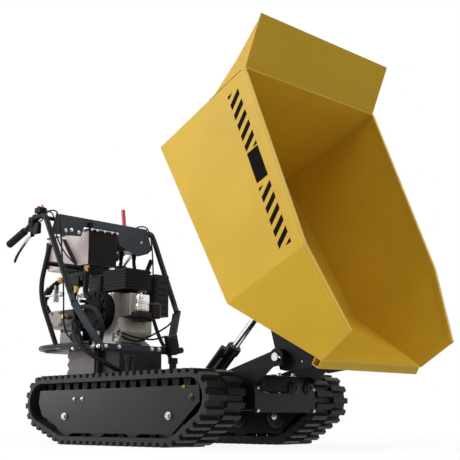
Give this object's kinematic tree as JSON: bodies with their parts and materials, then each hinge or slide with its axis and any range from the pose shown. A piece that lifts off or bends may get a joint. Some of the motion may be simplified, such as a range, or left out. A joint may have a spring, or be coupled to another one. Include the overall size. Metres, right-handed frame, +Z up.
{
  "type": "tracked power carrier",
  "caption": "Walk-behind tracked mini dumper with rubber belts, engine deck, operator handlebars and a hydraulic front-tipping skip, shown tipped.",
  "frame": {"origin": "middle of the footprint box on the ground, with the skip tipped", "axes": "+X the way the skip tips, +Y the machine's left side, +Z up"},
  "size_m": [1.9846, 0.75, 1.4854],
  "materials": {
    "black_paint": "satin",
    "slate_paint": "satin",
    "yellow_paint": "satin",
    "steel": "brushed",
    "chrome": "polished",
    "alloy": "cast",
    "grey_metal": "satin",
    "belt_rubber": "matte",
    "black_plastic": "matte",
    "red_plastic": "gloss"
  },
  "bodies": {
    "chassis": {"chassis_frame": "black_paint", "pivot_arms": "black_paint", "engine_deck": "slate_paint", "front_buffers": "belt_rubber", "rest_pads": "belt_rubber", "track_frame_right": "black_paint", "track_frame_left": "black_paint", "track_cover_right": "black_paint", "track_cover_left": "black_paint", "track_belt_right": "belt_rubber", "track_belt_left": "belt_rubber", "axles_and_pins": "steel", "fasteners": "steel", "gearbox": "alloy", "drive_belt": "belt_rubber", "crankcase": "alloy", "engine_cylinder": "alloy", "fan_shroud": "black_plastic", "fuel_tank": "black_plastic", "muffler": "black_paint", "air_filter": "black_plastic", "hydraulic_pump": "alloy", "control_valve": "black_paint", "oil_tank": "grey_metal", "tank_lid": "black_paint", "control_panel": "slate_paint", "handlebars": "slate_paint", "rear_guard": "black_paint", "grips": "belt_rubber", "lever_perches": "black_plastic", "switch_box": "black_plastic", "hoses_and_cables": "belt_rubber"},
    "skip": {"skip_shell": "yellow_paint", "spill_guard": "yellow_paint", "lip_bar": "yellow_paint", "skip_brackets": "black_paint"},
    "barrel": {"cylinder_barrel": "black_paint"},
    "rod": {"cylinder_rod": "chrome"},
    "sprocket_right": {"sprocket_right": "black_paint"},
    "idler_right": {"idler_right": "black_paint"},
    "roller_right_1": {"roller_right_1": "black_paint"},
    "roller_right_2": {"roller_right_2": "black_paint"},
    "roller_right_3": {"roller_right_3": "black_paint"},
    "roller_right_4": {"roller_right_4": "black_paint"},
    "sprocket_left": {"sprocket_left": "black_paint"},
    "idler_left": {"idler_left": "black_paint"},
    "roller_left_1": {"roller_left_1": "black_paint"},
    "roller_left_2": {"roller_left_2": "black_paint"},
    "roller_left_3": {"roller_left_3": "black_paint"},
    "roller_left_4": {"roller_left_4": "black_paint"},
    "engine_pulley": {"engine_pulley": "steel"},
    "gearbox_pulley": {"gearbox_pulley": "steel"},
    "fuel_cap": {"fuel_cap": "black_plastic"},
    "tank_cap": {"tank_cap": "black_plastic"},
    "valve_lever": {"valve_lever": "red_plastic"},
    "stop_switch": {"stop_switch": "red_plastic"},
    "throttle_lever": {"throttle_lever": "red_plastic"},
    "starter_handle": {"starter_handle": "black_plastic"},
    "clutch_lever_right": {"clutch_lever_right": "steel"},
    "clutch_lever_left": {"clutch_lever_left": "steel"}
  },
  "joints": [
    {"name": "skip_tip", "type": "hinge", "parent": "chassis", "child": "skip", "pos_m": [0.55546, 0, 0.311], "axis": [0, 1, 0], "range_deg": [-60, 0]},
    {"name": "barrel_swing", "type": "hinge", "parent": "chassis", "child": "barrel", "pos_m": [-0.07854, 0, 0.12], "axis": [0, 1, 0], "range_deg": [0, 9.21]},
    {"name": "rod_slide", "type": "slide", "parent": "barrel", "child": "rod", "axis": [0.737, 0, 0.6759], "range_m": [-0.2906, 0]},
    {"name": "right_drive", "type": "hinge", "parent": "chassis", "child": "sprocket_right", "pos_m": [-0.56754, -0.285, 0.166], "axis": [0, 1, 0], "continuous": true},
    {"name": "right_idler_turn", "type": "hinge", "parent": "chassis", "child": "idler_right", "pos_m": [0.34846, -0.285, 0.173], "axis": [0, 1, 0], "continuous": true},
    {"name": "right_roller_1_turn", "type": "hinge", "parent": "chassis", "child": "roller_right_1", "pos_m": [-0.40554, -0.285, 0.11], "axis": [0, 1, 0], "continuous": true},
    {"name": "right_roller_2_turn", "type": "hinge", "parent": "chassis", "child": "roller_right_2", "pos_m": [-0.19354, -0.285, 0.11], "axis": [0, 1, 0], "continuous": true},
    {"name": "right_roller_3_turn", "type": "hinge", "parent": "chassis", "child": "roller_right_3", "pos_m": [0.01846, -0.285, 0.11], "axis": [0, 1, 0], "continuous": true},
    {"name": "right_roller_4_turn", "type": "hinge", "parent": "chassis", "child": "roller_right_4", "pos_m": [0.23046, -0.285, 0.11], "axis": [0, 1, 0], "continuous": true},
    {"name": "left_drive", "type": "hinge", "parent": "chassis", "child": "sprocket_left", "pos_m": [-0.56754, 0.285, 0.166], "axis": [0, 1, 0], "continuous": true},
    {"name": "left_idler_turn", "type": "hinge", "parent": "chassis", "child": "idler_left", "pos_m": [0.34846, 0.285, 0.173], "axis": [0, 1, 0], "continuous": true},
    {"name": "left_roller_1_turn", "type": "hinge", "parent": "chassis", "child": "roller_left_1", "pos_m": [-0.40554, 0.285, 0.11], "axis": [0, 1, 0], "continuous": true},
    {"name": "left_roller_2_turn", "type": "hinge", "parent": "chassis", "child": "roller_left_2", "pos_m": [-0.19354, 0.285, 0.11], "axis": [0, 1, 0], "continuous": true},
    {"name": "left_roller_3_turn", "type": "hinge", "parent": "chassis", "child": "roller_left_3", "pos_m": [0.01846, 0.285, 0.11], "axis": [0, 1, 0], "continuous": true},
    {"name": "left_roller_4_turn", "type": "hinge", "parent": "chassis", "child": "roller_left_4", "pos_m": [0.23046, 0.285, 0.11], "axis": [0, 1, 0], "continuous": true},
    {"name": "engine_turn", "type": "hinge", "parent": "chassis", "child": "engine_pulley", "pos_m": [-0.51354, 0.084, 0.56], "axis": [0, 1, 0], "continuous": true},
    {"name": "gearbox_input_turn", "type": "hinge", "parent": "chassis", "child": "gearbox_pulley", "pos_m": [-0.60354, 0.084, 0.31], "axis": [0, 1, 0], "continuous": true},
    {"name": "starter_pull", "type": "slide", "parent": "chassis", "child": "starter_handle", "axis": [-1, 0, 0], "range_m": [0, 0.3], "stiffness_N_per_m": 30},
    {"name": "fuel_cap_turn", "type": "hinge", "parent": "chassis", "child": "fuel_cap", "pos_m": [-0.49354, -0.03, 0.752], "axis": [0, 0, 1], "range_deg": [0, 90]},
    {"name": "tank_cap_turn", "type": "hinge", "parent": "chassis", "child": "tank_cap", "pos_m": [-0.64904, -0.086, 0.96], "axis": [0, 0, 1], "continuous": true},
    {"name": "valve_lever_swing", "type": "hinge", "parent": "chassis", "child": "valve_lever", "pos_m": [-0.72554, 0.17, 0.972], "axis": [0, 1, 0], "range_deg": [-14, 14], "stiffness_Nm_per_rad": 12},
    {"name": "clutch_right_squeeze", "type": "hinge", "parent": "chassis", "child": "clutch_lever_right", "pos_m": [-0.80154, -0.302, 0.918], "axis": [0, 1, 0], "range_deg": [0, 16], "stiffness_Nm_per_rad": 6, "springref_deg": -8.59},
    {"name": "clutch_left_squeeze", "type": "hinge", "parent": "chassis", "child": "clutch_lever_left", "pos_m": [-0.80154, 0.302, 0.918], "axis": [0, 1, 0], "range_deg": [0, 16], "stiffness_Nm_per_rad": 6, "springref_deg": -8.59},
    {"name": "stop_press", "type": "slide", "parent": "chassis", "child": "stop_switch", "axis": [0, 0, -1], "range_m": [0, 0.004], "stiffness_N_per_m": 700},
    {"name": "throttle_turn", "type": "hinge", "parent": "chassis", "child": "throttle_lever", "pos_m": [-0.72754, -0.283, 1.017], "axis": [0, 1, 0], "range_deg": [-30, 30]}
  ],
  "couplings": [
    {"joint": "barrel_swing", "follows": "skip_tip", "ratio": -0.15323},
    {"joint": "rod_slide", "follows": "skip_tip", "m_per_rad": 0.27731},
    {"joint": "right_idler_turn", "follows": "right_drive", "ratio": 1.1014},
    {"joint": "right_roller_1_turn", "follows": "right_drive", "ratio": 0.97436},
    {"joint": "right_roller_2_turn", "follows": "right_drive", "ratio": 0.97436},
    {"joint": "right_roller_3_turn", "follows": "right_drive", "ratio": 0.97436},
    {"joint": "right_roller_4_turn", "follows": "right_drive", "ratio": 0.97436},
    {"joint": "left_idler_turn", "follows": "left_drive", "ratio": 1.1014},
    {"joint": "left_roller_1_turn", "follows": "left_drive", "ratio": 0.97436},
    {"joint": "left_roller_2_turn", "follows": "left_drive", "ratio": 0.97436},
    {"joint": "left_roller_3_turn", "follows": "left_drive", "ratio": 0.97436},
    {"joint": "left_roller_4_turn", "follows": "left_drive", "ratio": 0.97436},
    {"joint": "gearbox_input_turn", "follows": "engine_turn", "ratio": 0.6129}
  ]
}
